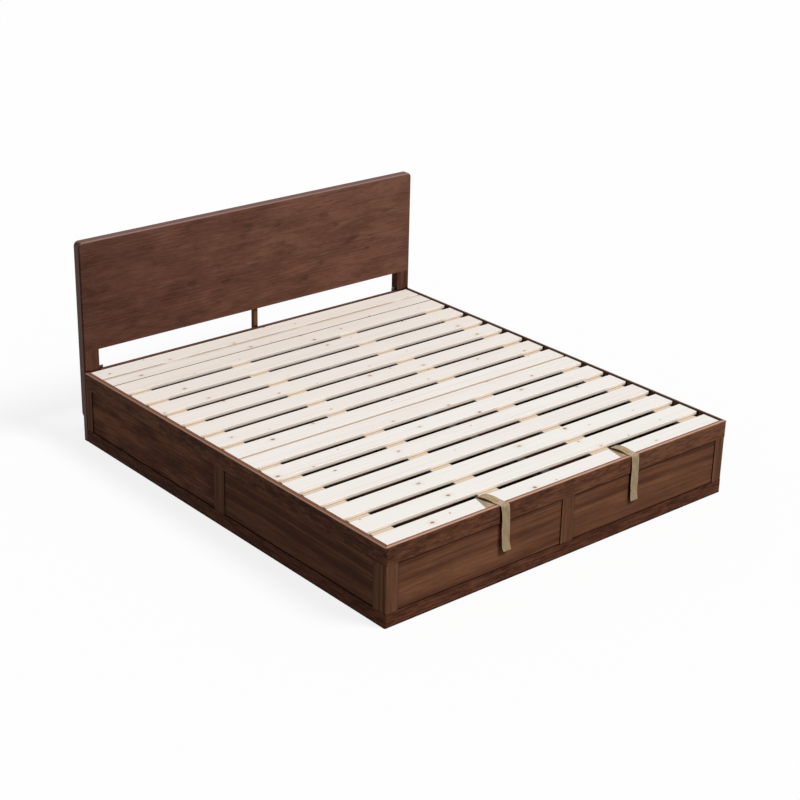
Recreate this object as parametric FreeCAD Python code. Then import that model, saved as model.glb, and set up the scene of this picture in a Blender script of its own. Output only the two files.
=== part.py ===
import FreeCAD, Part
import math
import os

os.makedirs("parts", exist_ok=True)

vector = FreeCAD.Vector

# Overall sizes of the bed, in millimetres
bed_width = 1850.0
box_length = 2050.0  # foot face to headboard face
box_height = 330.0
headboard_height = 920.0
headboard_thickness = 42.0

# Frame-and-panel walls of the box
board_thickness = 22.0
top_rail_height = 74.0
plinth_height = 59.0
rail_round = 5.0
small_round = 1.5
corner_post_foot_width = 60.0
corner_post_side_width = 75.0
corner_round = 10.0
mid_stile_width = 68.0
head_stile_width = 45.0
stile_setback = 1.0
panel_setback = 3.5
panel_thickness = 12.0
groove_depth = 8.0
groove_clearance = 0.3
tenon_clearance = 0.5

# Headboard
headboard_bottom = 424.0
headboard_corner_round = 22.0
headboard_front_round = 8.0
headboard_back_round = 3.0
headboard_leg_width = 75.0
leg_tenon_width = 45.0
leg_tenon_thickness = 20.0
leg_tenon_length = 40.0
skirting_height = 115.0
skirting_depth = 13.0
center_post_width = 20.0
center_post_thickness = 22.0
center_post_bottom = 200.0
center_post_tenon = 12.0
center_post_tenon_length = 20.0
rear_board_thickness = 18.0
rear_board_lead = 6.0
rear_board_side_clearance = 0.5
bracket_flange = 24.0
bracket_thickness = 3.0
bracket_height = 92.0
bracket_rise = 12.0
counterbore_radius = 12.0
counterbore_depth = 10.0
counterbore_heights = (170.0, 240.0)

# Slatted deck
slat_drop = 2.0
slat_thickness = 14.0
slat_width = 98.0
front_slat_width = 84.0
slats_per_panel = 7
panel_join = 13.0
deck_join = 5.0
deck_clearance = 2.0
head_section_length = 186.0
head_slat_gap = 4.0
slat_round = 2.0
stringer_width = 100.0
stringer_thickness = 16.0
stringer_end_inset = 2.0
outer_stringer_inset = 21.0
inner_stringer_center = 305.0

# Steel lift frame under the deck
angle_thickness = 4.0
angle_width = 50.0
angle_overhang = 10.0
angle_leg_clearance = 2.0
angle_bend_round = 3.0
cross_bar_height = 20.0
cross_bar_width = 30.0
cross_bar_end_lap = 12.0
front_cross_bar_inset = 120.0
rear_cross_bar_lead = 75.0
center_bar_width = 40.0
tube_wall = 2.0

# Lift mechanism
lift_limit = 40.0  # degrees
pivot_to_deck_rear = 200.0
pivot_pin_radius = 5.0
pivot_boss_radius = 9.0
pivot_pin_end_room = 1.0
strut_pivot_reach = 260.0
strut_rest_spread = 50.0  # degrees between the two strut pins, seen from the pivot
upper_pin_droop = 6.0  # degrees below level, seen from the pivot
strut_pin_radius = 4.0
strut_collar_radius = 7.0
strut_pin_end = 3.0
strut_eye_radius = 9.0
strut_eye_width = 12.0
strut_neck_radius = 6.0
strut_neck_length = 14.0
strut_inset = 31.0
cylinder_radius = 10.0
cylinder_wall = 1.7
cylinder_floor = 4.0
gland_length = 14.0
rod_radius = 5.0
rod_end_room = 28.0
piston_length = 8.0
piston_clearance = 0.3
stroke_spare = 1.0
running_clearance = 0.05
side_play = 0.3
tab_half_width = 45.0
tab_end_radius = 12.0
plate_thickness = 4.0
plate_pivot_round = 10.0
plate_lead = 80.0
plate_neck_height = 40.0
plate_foot_reach = 50.0
plate_foot_bottom = 30.0
plate_foot_height = 80.0
plate_corner_round = 12.0

# Supports and storage
ledger_width = 30.0
ledger_height = 30.0
ledger_end_room = 40.0
post_top_room = 2.0
head_bearer_width = 40.0
head_bearer_inset = 14.0
rear_cleat_width = 22.0
rear_cleat_height = 22.0
divider_thickness = 18.0
divider_drop_room = 17.0
floor_thickness = 12.0
floor_clearance = 1.0
batten_height = 12.0
batten_width = 40.0
batten_end_inset = 280.0
batten_count = 3

# Webbing pull straps
strap_width = 46.0
strap_thickness = 3.0
strap_center = 355.0
strap_standoff = 1.5
strap_seat_gap = 0.3
strap_tail_height = 122.0
strap_bend = 2.0

# Levels, from the floor up
rail_bottom = box_height - top_rail_height
deck_top = box_height - slat_drop
slat_bottom = deck_top - slat_thickness
stringer_bottom = slat_bottom - stringer_thickness
angle_bottom = stringer_bottom - angle_thickness
cross_bar_bottom = angle_bottom - cross_bar_height
angle_leg_height = stringer_thickness + angle_thickness - angle_leg_clearance
floor_top = batten_height + floor_thickness

# Stations across the bed, for its left side
half_width = bed_width / 2
wall_inner = -half_width + board_thickness
slat_end = wall_inner + deck_clearance
post_inner = -half_width + corner_post_foot_width
leg_inner = -half_width + headboard_leg_width
stringer_outer = slat_end + outer_stringer_inset
angle_outer = stringer_outer - angle_overhang
angle_leg_inner = angle_outer + angle_thickness
angle_inner = angle_outer + angle_width
plate_face = wall_inner + plate_thickness
strut_x = wall_inner + strut_inset
eye_outer = strut_x - strut_eye_width / 2
eye_inner = strut_x + strut_eye_width / 2

# Stations along the bed, foot at -Y and headboard at +Y
strap_reach = strap_standoff + strap_thickness
foot_face = -(box_length + headboard_thickness - strap_reach) / 2
head_face = foot_face + box_length
head_back = head_face + headboard_thickness
foot_inner = foot_face + board_thickness
post_rear = foot_face + corner_post_side_width
head_stile_front = head_face - head_stile_width
mid_stile_y = (post_rear + head_stile_front) / 2
rear_board_front = head_face - rear_board_lead
rear_board_back = rear_board_front + rear_board_thickness
deck_front = foot_inner + deck_clearance
head_slats_rear = rear_board_front - deck_clearance
head_slats_front = head_slats_rear - head_section_length
deck_rear = head_slats_front - deck_join
slat_total = front_slat_width + (2 * slats_per_panel - 1) * slat_width
slat_gap = (deck_rear - deck_front - slat_total - panel_join) / (2 * slats_per_panel - 2)
head_slat_width = (head_section_length - head_slat_gap) / 2

# Panel groove, measured inward from the outer face of a wall
groove_near = stile_setback + panel_setback - groove_clearance
groove_far = stile_setback + panel_setback + panel_thickness + groove_clearance
tongue = groove_depth - groove_clearance

# The deck pivot, and the two strut pins at one distance from it: the strut then turns
# exactly half as far as the deck, because the pins stay on one circle round the pivot
pivot_y = deck_rear - pivot_to_deck_rear
pivot_z = angle_bottom + angle_leg_height / 2
upper_angle = math.radians(upper_pin_droop)
lower_angle = math.radians(upper_pin_droop + strut_rest_spread)
upper_pin_y = pivot_y - strut_pivot_reach * math.cos(upper_angle)
upper_pin_z = pivot_z - strut_pivot_reach * math.sin(upper_angle)
lower_pin_y = pivot_y - strut_pivot_reach * math.cos(lower_angle)
lower_pin_z = pivot_z - strut_pivot_reach * math.sin(lower_angle)
rest_length = 2 * strut_pivot_reach * math.sin(math.radians(strut_rest_spread) / 2)
open_length = 2 * strut_pivot_reach * math.sin(math.radians(strut_rest_spread + lift_limit) / 2)
cylinder_mouth = rest_length - rod_end_room
gland_inner = cylinder_mouth - gland_length
rod_length = open_length + piston_length + stroke_spare - gland_inner


# A flat face with straight edges and round corners; a corner is (u, v) or (u, v, radius)
def rounded_face(corners, place):
    edges = []
    runs = []
    for index, corner in enumerate(corners):
        radius = corner[2] if len(corner) > 2 else 0.0
        here = vector(corner[0], corner[1], 0)
        before = corners[index - 1]
        after = corners[(index + 1) % len(corners)]
        to_before = (vector(before[0], before[1], 0) - here).normalize()
        to_after = (vector(after[0], after[1], 0) - here).normalize()
        half_angle = to_before.getAngle(to_after) / 2
        reach = radius / math.tan(half_angle)
        enter = here + to_before * reach
        leave = here + to_after * reach
        runs.append((enter, leave))
        if radius > 0:
            inward = (to_before + to_after).normalize()
            middle = here + inward * (radius / math.sin(half_angle) - radius)
            points = [place(point.x, point.y) for point in (enter, middle, leave)]
            edges.append(Part.Arc(*points).toShape())
    for index, run in enumerate(runs):
        start = runs[index - 1][1]
        if (run[0] - start).Length > 1e-6:
            edges.append(Part.makeLine(place(start.x, start.y), place(run[0].x, run[0].y)))
    return Part.Face(Part.Wire(Part.__sortEdges__(edges)))


# Prisms along each axis; the outline is in the other two axes, in X, Y, Z order
def prism_x(corners, low, high):
    face = rounded_face(corners, lambda y, z: vector(low, y, z))
    return face.extrude(vector(high - low, 0, 0))


def prism_y(corners, low, high):
    face = rounded_face(corners, lambda x, z: vector(x, low, z))
    return face.extrude(vector(0, high - low, 0))


def prism_z(corners, low, high):
    face = rounded_face(corners, lambda x, y: vector(x, y, low))
    return face.extrude(vector(0, 0, high - low))


def block(x_low, x_high, y_low, y_high, z_low, z_high):
    corner = vector(x_low, y_low, z_low)
    return Part.makeBox(x_high - x_low, y_high - y_low, z_high - z_low, corner)


# Round bars along X and along Y
def bar_x(y, z, radius, low, high):
    return Part.makeCylinder(radius, high - low, vector(low, y, z), vector(1, 0, 0))


def bar_y(x, z, radius, low, high):
    return Part.makeCylinder(radius, high - low, vector(x, low, z), vector(0, 1, 0))


def mirrored(shape):
    return shape.mirror(vector(0, 0, 0), vector(1, 0, 0))


def joined(first, *others):
    return first.multiFuse(list(others)).removeSplitter()


def save(name, *shapes):
    solids = [solid for shape in shapes for solid in shape.Solids]
    whole = solids[0] if len(solids) == 1 else Part.makeCompound(solids)
    whole.exportStep("parts/" + name + ".step")


# A left piece and its mirror image on the right; the side's name goes after the stem
def save_pair(stem, shape, ending=""):
    save(stem + "_left" + ending, shape)
    save(stem + "_right" + ending, mirrored(shape))


# Section of a top rail: rounded upper edges, and a groove below for the panels
def top_rail_section(outer):
    return [
        (outer, rail_bottom, small_round),
        (outer, box_height, rail_round),
        (outer + board_thickness, box_height, small_round),
        (outer + board_thickness, rail_bottom),
        (outer + groove_far, rail_bottom),
        (outer + groove_far, rail_bottom + groove_depth),
        (outer + groove_near, rail_bottom + groove_depth),
        (outer + groove_near, rail_bottom),
    ]


# Section of a plinth: it stands on the floor, with the panel groove in its top
def plinth_section(outer):
    return [
        (outer, 0.0, small_round),
        (outer, plinth_height, small_round),
        (outer + groove_near, plinth_height),
        (outer + groove_near, plinth_height - groove_depth),
        (outer + groove_far, plinth_height - groove_depth),
        (outer + groove_far, plinth_height),
        (outer + board_thickness, plinth_height),
        (outer + board_thickness, 0.0),
    ]


# Waste on one side of the 45 degree mitre at the front left corner
def mitre_waste(beside_foot):
    spare = board_thickness / 2
    low_x = -half_width - spare
    high_x = wall_inner + spare
    low_y = foot_face - spare
    high_y = foot_inner + spare
    third = (low_x, high_y) if beside_foot else (high_x, low_y)
    corners = [(low_x, low_y), (high_x, high_y), third]
    return prism_z(corners, -spare, box_height + spare)


# The room inside the outer faces of the box, round at its two foot corners
def box_envelope():
    corners = [
        (-half_width, foot_face, corner_round),
        (half_width, foot_face, corner_round),
        (half_width, head_face),
        (-half_width, head_face),
    ]
    return prism_z(corners, 0, box_height)


def side_rail(section):
    bar = prism_y(section(-half_width), foot_face, head_face)
    return bar.cut(mitre_waste(beside_foot=False)).common(box_envelope())


def foot_rail(section):
    bar = prism_x(section(foot_face), -half_width, half_width)
    waste = mitre_waste(beside_foot=True)
    return bar.cut([waste, mirrored(waste)]).common(box_envelope())


# Corner post: full section between plinth and rail, and a core that laps behind both
def corner_post():
    face_x = -half_width + stile_setback
    face_y = foot_face + stile_setback
    outline = [
        (face_x, face_y, corner_round),
        (post_inner, face_y, small_round),
        (post_inner, post_rear),
        (face_x, post_rear, small_round),
    ]
    body = prism_z(outline, plinth_height, rail_bottom)
    core_top = angle_bottom - post_top_room
    core = block(wall_inner, post_inner, foot_inner, post_rear, 0, core_top)
    side_groove = block(
        -half_width + groove_near, -half_width + groove_far,
        post_rear - groove_depth, post_rear, plinth_height, rail_bottom,
    )
    foot_groove = block(
        post_inner - groove_depth, post_inner,
        foot_face + groove_near, foot_face + groove_far, plinth_height, rail_bottom,
    )
    return joined(body, core).cut([side_groove, foot_groove])


# Head post: closes a side wall against the headboard leg and carries the rear head slat
def head_post():
    face_x = -half_width + stile_setback
    outline = [
        (face_x, head_stile_front, small_round),
        (post_inner, head_stile_front, small_round),
        (post_inner, head_face),
        (face_x, head_face),
    ]
    body = prism_z(outline, plinth_height, rail_bottom)
    core = block(wall_inner, post_inner, head_stile_front, head_face, 0, slat_bottom)
    groove = block(
        -half_width + groove_near, -half_width + groove_far,
        head_stile_front, head_stile_front + groove_depth, plinth_height, rail_bottom,
    )
    return joined(body, core).cut(groove)


# Middle stile: panel grooves on both edges, and stub tenons into rail and plinth
def mid_stile(place_prism, outer, center):
    low = center - mid_stile_width / 2
    high = center + mid_stile_width / 2
    face = outer + stile_setback
    back = outer + board_thickness
    near = outer + groove_near
    far = outer + groove_far
    outline = [
        (face, low, small_round), (near, low),
        (near, low + groove_depth), (far, low + groove_depth),
        (far, low), (back, low), (back, high), (far, high),
        (far, high - groove_depth), (near, high - groove_depth),
        (near, high), (face, high, small_round),
    ]
    tenon = [
        (near + groove_clearance, low + groove_depth),
        (far - groove_clearance, low + groove_depth),
        (far - groove_clearance, high - groove_depth),
        (near + groove_clearance, high - groove_depth),
    ]
    tenon_reach = groove_depth - tenon_clearance
    body = place_prism(outline, plinth_height, rail_bottom)
    through = place_prism(tenon, plinth_height - tenon_reach, rail_bottom + tenon_reach)
    return joined(body, through)


def across_foot(corners, low, high):
    return prism_z([(corner[1], corner[0]) + tuple(corner[2:]) for corner in corners], low, high)


# Flat panels that float in the grooves; low and high are the edges of their field
def side_panel(low, high):
    front = -half_width + stile_setback + panel_setback
    bottom = plinth_height - tongue
    top = rail_bottom + tongue
    return block(front, front + panel_thickness, low - tongue, high + tongue, bottom, top)


def foot_panel(low, high):
    front = foot_face + stile_setback + panel_setback
    bottom = plinth_height - tongue
    top = rail_bottom + tongue
    return block(low - tongue, high + tongue, front, front + panel_thickness, bottom, top)


# Headboard slab: rounded top corners, soft front edge, mortises for legs and centre post
def headboard_panel():
    outline = [
        (-half_width, headboard_bottom),
        (-half_width, headboard_height, headboard_corner_round),
        (half_width, headboard_height, headboard_corner_round),
        (half_width, headboard_bottom),
    ]
    slab = prism_y(outline, head_face, head_back)
    slab = slab.makeFillet(headboard_front_round, rim_edges(slab, head_face))
    slab = slab.makeFillet(headboard_back_round, rim_edges(slab, head_back))
    leg_mortise = leg_tenon(tenon_clearance)
    post_mortise = center_post_tenon_block(tenon_clearance)
    return slab.cut([leg_mortise, mirrored(leg_mortise), post_mortise])


# Edges of the slab's face at this depth, apart from its lower edge
def rim_edges(slab, depth):
    rim = []
    for edge in slab.Edges:
        box = edge.BoundBox
        flat = abs(box.YMin - depth) < 0.01 and abs(box.YMax - depth) < 0.01
        if flat and box.ZMax > headboard_bottom + 1:
            rim.append(edge)
    return rim


def leg_tenon(room):
    center_x = (-half_width + leg_inner) / 2
    center_y = (head_face + head_back) / 2
    half_x = leg_tenon_width / 2 + room
    half_y = leg_tenon_thickness / 2 + room
    top = headboard_bottom + leg_tenon_length + room
    return block(
        center_x - half_x, center_x + half_x, center_y - half_y, center_y + half_y,
        headboard_bottom, top,
    )


def center_post_tenon_block(room):
    center_y = rear_board_back + center_post_thickness / 2
    half = center_post_tenon / 2 + room
    top = headboard_bottom + center_post_tenon_length + room
    return block(-half, half, center_y - half, center_y + half, headboard_bottom, top)


# Headboard leg: flush with the slab, cut back at the rear to clear a skirting board, and
# bored from behind for the bolts into the head post
def headboard_leg():
    outline = [
        (-half_width, head_face, headboard_front_round),
        (leg_inner, head_face, small_round),
        (leg_inner, head_back, small_round),
        (-half_width, head_back, headboard_back_round),
    ]
    body = prism_z(outline, 0, headboard_bottom)
    spare = 1.0
    relief = prism_x(
        [
            (head_back - skirting_depth, -spare),
            (head_back + spare, -spare),
            (head_back + spare, skirting_height + skirting_depth + spare),
            (head_back - skirting_depth, skirting_height),
        ],
        -half_width - spare, leg_inner + spare,
    )
    seat = head_back - counterbore_depth
    bolt_x = (wall_inner + post_inner) / 2
    bores = [bar_y(bolt_x, z, counterbore_radius, seat, head_back) for z in counterbore_heights]
    return joined(body, leg_tenon(0.0)).cut([relief] + bores)


def headboard_center_post():
    half = center_post_width / 2
    back = rear_board_back + center_post_thickness
    body = block(-half, half, rear_board_back, back, center_post_bottom, headboard_bottom)
    return joined(body, center_post_tenon_block(0.0))


def rear_board():
    outline = [
        (rear_board_front, 0.0), (rear_board_front, box_height, small_round),
        (rear_board_back, box_height, small_round), (rear_board_back, 0.0),
    ]
    reach = -leg_inner - rear_board_side_clearance
    return prism_x(outline, -reach, reach)


# Steel angle that ties the rear board to a headboard leg
def headboard_bracket():
    far_x = leg_inner + bracket_flange
    far_y = rear_board_back + bracket_flange
    outline = [
        (leg_inner, rear_board_back), (far_x, rear_board_back),
        (far_x, rear_board_back + bracket_thickness),
        (leg_inner + bracket_thickness, rear_board_back + bracket_thickness, small_round),
        (leg_inner + bracket_thickness, far_y), (leg_inner, far_y),
    ]
    top = box_height + bracket_rise
    return prism_z(outline, top - bracket_height, top)


# Slat stations along the deck, from the foot; the join of the two panels has its own gap
def slat_spans():
    spans = []
    start = deck_front
    for index in range(2 * slats_per_panel):
        width = front_slat_width if index == 0 else slat_width
        spans.append((start, start + width))
        gap = panel_join if index == slats_per_panel - 1 else slat_gap
        start = start + width + gap
    return spans


def slat(low, high):
    outline = [
        (low, slat_bottom), (low, deck_top, slat_round),
        (high, deck_top, slat_round), (high, slat_bottom),
    ]
    return prism_x(outline, slat_end, -slat_end)


def head_slat_spans():
    front = (head_slats_front, head_slats_front + head_slat_width)
    rear = (head_slats_rear - head_slat_width, head_slats_rear)
    return front, rear


# Lengthwise boards under one panel's slats, two outer and two inner
def stringer_set(low, high):
    inner_low = -inner_stringer_center - stringer_width / 2
    boards = []
    for start in (stringer_outer, inner_low):
        board = block(start, start + stringer_width, low, high, stringer_bottom, slat_bottom)
        boards.append(board)
        boards.append(mirrored(board))
    return boards


def panel_spans():
    spans = slat_spans()
    front = (spans[0][0] + stringer_end_inset, spans[slats_per_panel - 1][1])
    rear = (spans[slats_per_panel][0], spans[-1][1] - stringer_end_inset)
    return front, rear


# Steel angle along one side of the deck, with the pivot pin and the strut's upper pin
def lift_angle():
    section = [
        (angle_outer, angle_bottom, angle_bend_round + angle_thickness / 2),
        (angle_inner, angle_bottom), (angle_inner, stringer_bottom),
        (angle_leg_inner, stringer_bottom, angle_bend_round),
        (angle_leg_inner, angle_bottom + angle_leg_height),
        (angle_outer, angle_bottom + angle_leg_height),
    ]
    front, rear = panel_spans()
    bar = prism_y(section, front[0], rear[1])
    tab_outline = [
        (upper_pin_y - tab_half_width, stringer_bottom),
        (upper_pin_y + tab_half_width, stringer_bottom),
        (upper_pin_y + tab_end_radius, upper_pin_z - tab_end_radius, tab_end_radius * 0.8),
        (upper_pin_y - tab_end_radius, upper_pin_z - tab_end_radius, tab_end_radius * 0.8),
    ]
    tab = prism_x(tab_outline, angle_outer, angle_leg_inner)
    pivot_end = wall_inner + pivot_pin_end_room
    pivot_pin = bar_x(pivot_y, pivot_z, pivot_pin_radius, pivot_end, angle_leg_inner)
    upper_pin = strut_pin(upper_pin_y, upper_pin_z, angle_leg_inner)
    return joined(bar, tab, pivot_pin, upper_pin)


# Shouldered pin for a strut eye: a collar, and a bearing length that ends past the eye
def strut_pin(y, z, root_x):
    collar = bar_x(y, z, strut_collar_radius, root_x, eye_outer - side_play)
    pin = bar_x(y, z, strut_pin_radius, eye_outer - side_play, eye_inner + strut_pin_end)
    return joined(collar, pin)


# Rectangular tube along the middle of the deck, under the slats
def lift_center_bar():
    front, rear = panel_spans()
    half = center_bar_width / 2
    outer = block(-half, half, front[0], rear[1], angle_bottom, slat_bottom)
    inner = block(
        -half + tube_wall, half - tube_wall, front[0], rear[1],
        angle_bottom + tube_wall, slat_bottom - tube_wall,
    )
    return outer.cut(inner)


def cross_bar(center_y):
    reach = -angle_inner + cross_bar_end_lap
    half = cross_bar_width / 2
    outer = block(
        -reach, reach, center_y - half, center_y + half, cross_bar_bottom, angle_bottom,
    )
    inner = block(
        -reach, reach, center_y - half + tube_wall, center_y + half - tube_wall,
        cross_bar_bottom + tube_wall, angle_bottom - tube_wall,
    )
    return outer.cut(inner)


# Cross tubes that join the two angles and carry the centre bar
def lift_cross_bars():
    front, rear = panel_spans()
    stations = (
        deck_front + front_cross_bar_inset,
        (front[1] + rear[0]) / 2,
        pivot_y - rear_cross_bar_lead,
    )
    return [cross_bar(station) for station in stations]


# Base plate on the rail and plinth, with the deck pivot's bush and the strut's lower pin
def lift_base_plate():
    right = pivot_y + plate_pivot_round
    neck_low = pivot_z + plate_pivot_round - plate_neck_height
    foot_left = lower_pin_y - plate_foot_reach
    foot_right = lower_pin_y + plate_foot_reach
    foot_top = plate_foot_bottom + plate_foot_height
    outline = [
        (pivot_y - plate_lead, pivot_z + plate_pivot_round, small_round),
        (right, pivot_z + plate_pivot_round, plate_pivot_round),
        (right, neck_low, plate_corner_round),
        (foot_right, foot_top, plate_corner_round),
        (foot_right, plate_foot_bottom, plate_corner_round),
        (foot_left, plate_foot_bottom, plate_corner_round),
        (foot_left, foot_top, plate_corner_round),
        (pivot_y - plate_lead, neck_low, plate_corner_round),
    ]
    plate = prism_x(outline, wall_inner, plate_face)
    boss = bar_x(pivot_y, pivot_z, pivot_boss_radius, plate_face, angle_outer - side_play)
    bore_radius = pivot_pin_radius + running_clearance
    bore = bar_x(pivot_y, pivot_z, bore_radius, wall_inner, angle_outer)
    stud = strut_pin(lower_pin_y, lower_pin_z, plate_face)
    return joined(plate, boss, stud).cut(bore)


# A turned solid along +Z at the origin, from a profile of (radius, height) corners
def turned(profile):
    face = rounded_face(profile, lambda r, z: vector(r, 0, z))
    return face.revolve(vector(0, 0, 0), vector(0, 0, 1), 360)


def strut_eye():
    eye = bar_x(0, 0, strut_eye_radius, -strut_eye_width / 2, strut_eye_width / 2)
    neck = Part.makeCylinder(strut_neck_radius, strut_neck_length + 1, vector(0, 0, 0))
    return joined(eye, neck)


def eye_bore():
    radius = strut_pin_radius + running_clearance
    return bar_x(0, 0, radius, -strut_eye_width, strut_eye_width)


# Stands a strut piece, made along +Z, on its pin and leans it along the strut
def on_strut(shape, y, z, toward_y, toward_z):
    lean = math.degrees(math.atan2(-(toward_y - y), toward_z - z))
    shape.rotate(vector(0, 0, 0), vector(1, 0, 0), lean)
    shape.translate(vector(strut_x, y, z))
    return shape


def strut_cylinder():
    bore = cylinder_radius - cylinder_wall
    floor = strut_neck_length + cylinder_floor
    tube = turned([
        (0.0, strut_neck_length), (cylinder_radius, strut_neck_length),
        (cylinder_radius, cylinder_mouth), (rod_radius + running_clearance, cylinder_mouth),
        (rod_radius + running_clearance, gland_inner), (bore, gland_inner),
        (bore, floor), (0.0, floor),
    ])
    solid = joined(tube, strut_eye()).cut(eye_bore())
    return on_strut(solid, lower_pin_y, lower_pin_z, upper_pin_y, upper_pin_z)


def strut_rod():
    piston = cylinder_radius - cylinder_wall - piston_clearance
    rod = turned([
        (0.0, strut_neck_length), (rod_radius, strut_neck_length),
        (rod_radius, rod_length - piston_length), (piston, rod_length - piston_length),
        (piston, rod_length), (0.0, rod_length),
    ])
    solid = joined(rod, strut_eye()).cut(eye_bore())
    return on_strut(solid, upper_pin_y, upper_pin_z, lower_pin_y, lower_pin_z)


# Wooden bearers fixed inside the box: under the closed deck, and under the head slats
def deck_ledgers():
    top = angle_bottom
    side_rear = upper_pin_y - tab_half_width - ledger_end_room
    side_in = wall_inner + ledger_width
    side = block(wall_inner, side_in, post_rear, side_rear, top - ledger_height, top)
    foot = block(
        post_inner, -post_inner, foot_inner, foot_inner + ledger_width,
        top - ledger_height, top,
    )
    cleat_front = head_slats_front + deck_join * 2
    cleat = block(
        wall_inner, side_in, cleat_front, head_stile_front, slat_bottom - ledger_height, slat_bottom,
    )
    bearer_front = head_slats_front + head_bearer_inset
    bearer = block(
        side_in, -side_in, bearer_front, bearer_front + head_bearer_width,
        slat_bottom - ledger_height, slat_bottom,
    )
    rear_reach = -leg_inner - bracket_flange
    rear = block(
        -rear_reach, rear_reach, rear_board_front - rear_cleat_width, rear_board_front,
        slat_bottom - rear_cleat_height, slat_bottom,
    )
    return [side, mirrored(side), foot, cleat, mirrored(cleat), bearer, rear]


# Middle board of the storage space; its rear top drops clear of the deck's tail
def center_divider():
    tail_drop = pivot_to_deck_rear * math.sin(math.radians(lift_limit))
    low_top = pivot_z - tail_drop - angle_leg_height / 2 - divider_drop_room
    slope_start = pivot_y + plate_pivot_round
    slope_end = slope_start + cross_bar_bottom - low_top
    notch_rear = foot_inner + ledger_width + floor_clearance
    notch_low = angle_bottom - ledger_height - floor_clearance
    outline = [
        (foot_inner, batten_height), (rear_board_front, batten_height),
        (rear_board_front, low_top), (slope_end, low_top, plate_corner_round),
        (slope_start, cross_bar_bottom, plate_corner_round),
        (notch_rear, cross_bar_bottom), (notch_rear, notch_low), (foot_inner, notch_low),
    ]
    half = divider_thickness / 2
    return prism_x(outline, -half, half)


# Floor board of one storage bay, notched round the corner post and the head post
def storage_floor_board():
    outer = wall_inner + floor_clearance
    inner = -divider_thickness / 2 - floor_clearance / 2
    front = foot_inner + floor_clearance
    rear = rear_board_front - floor_clearance
    notch_x = post_inner + floor_clearance
    notch_front = post_rear + floor_clearance
    notch_rear = head_stile_front - floor_clearance
    outline = [
        (notch_x, front), (inner, front), (inner, rear), (notch_x, rear),
        (notch_x, notch_rear), (outer, notch_rear), (outer, notch_front), (notch_x, notch_front),
    ]
    return prism_z(outline, batten_height, floor_top)


def floor_battens():
    reach = -wall_inner - floor_clearance
    first = foot_inner + batten_end_inset
    last = rear_board_front - batten_end_inset
    battens = []
    for index in range(batten_count):
        center = first + (last - first) * index / (batten_count - 1)
        half = batten_width / 2
        battens.append(block(-reach, reach, center - half, center + half, 0, batten_height))
    return battens


# Webbing strap from the first slat gap over the foot rail, with its tail hanging outside
def pull_strap():
    rear = slat_spans()[0][1] + strap_seat_gap
    run_low = max(deck_top, box_height) + strap_seat_gap
    run_high = run_low + strap_thickness
    tail_in = foot_face - strap_standoff
    tail_out = tail_in - strap_thickness
    inner_bend = strap_bend
    outer_bend = strap_bend + strap_thickness
    outline = [
        (rear, slat_bottom + strap_seat_gap), (rear, run_low, inner_bend),
        (tail_in, run_low, inner_bend), (tail_in, strap_tail_height),
        (tail_out, strap_tail_height), (tail_out, run_high, outer_bend),
        (rear + strap_thickness, run_high, outer_bend),
        (rear + strap_thickness, slat_bottom + strap_seat_gap),
    ]
    low = -strap_center - strap_width / 2
    return prism_x(outline, low, low + strap_width)


# Box walls
save_pair("side_top_rail", side_rail(top_rail_section))
save_pair("side_plinth", side_rail(plinth_section))
save("foot_top_rail", foot_rail(top_rail_section))
save("foot_plinth", foot_rail(plinth_section))
save_pair("corner_post", corner_post())
save_pair("head_post", head_post())
save_pair("side_mid_stile", mid_stile(prism_z, -half_width, mid_stile_y))
save("foot_mid_stile", mid_stile(across_foot, foot_face, 0.0))
mid_half = mid_stile_width / 2
save_pair("side_panel", side_panel(post_rear, mid_stile_y - mid_half), "_front")
save_pair("side_panel", side_panel(mid_stile_y + mid_half, head_stile_front), "_rear")
save_pair("foot_panel", foot_panel(post_inner, -mid_half))

# Headboard
save("headboard_panel", headboard_panel())
save_pair("headboard_leg", headboard_leg())
save("headboard_center_post", headboard_center_post())
save("rear_board", rear_board())
bracket = headboard_bracket()
save("headboard_brackets", bracket, mirrored(bracket))

# Head slats, which stay in place
for word, span in zip(("front", "rear"), head_slat_spans()):
    save("head_slat_" + word, slat(*span))

# Lifting deck
for number, span in enumerate(slat_spans(), start=1):
    save("deck_slat_%02d" % number, slat(*span))
for word, span in zip(("front", "rear"), panel_spans()):
    save(word + "_stringers", *stringer_set(*span))
save_pair("lift_angle", lift_angle())
save("lift_center_bar", lift_center_bar())
save("lift_cross_bars", *lift_cross_bars())
save_pair("pull_strap", pull_strap())

# Lift mechanism
save_pair("lift_base_plate", lift_base_plate())
save_pair("strut_cylinder", strut_cylinder())
save_pair("strut_rod", strut_rod())

# Supports and storage
save("deck_ledgers", *deck_ledgers())
save("center_divider", center_divider())
floor_board = storage_floor_board()
save("storage_floor", floor_board, mirrored(floor_board))
save("floor_battens", *floor_battens())

print("slat gap", round(slat_gap, 3))
print("deck pivot y, z", round(pivot_y, 3), round(pivot_z, 3))
print("upper strut pin y, z", round(upper_pin_y, 3), round(upper_pin_z, 3))
print("lower strut pin y, z", round(lower_pin_y, 3), round(lower_pin_z, 3))
print("strut length at rest and open", round(rest_length, 2), round(open_length, 2))
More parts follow.
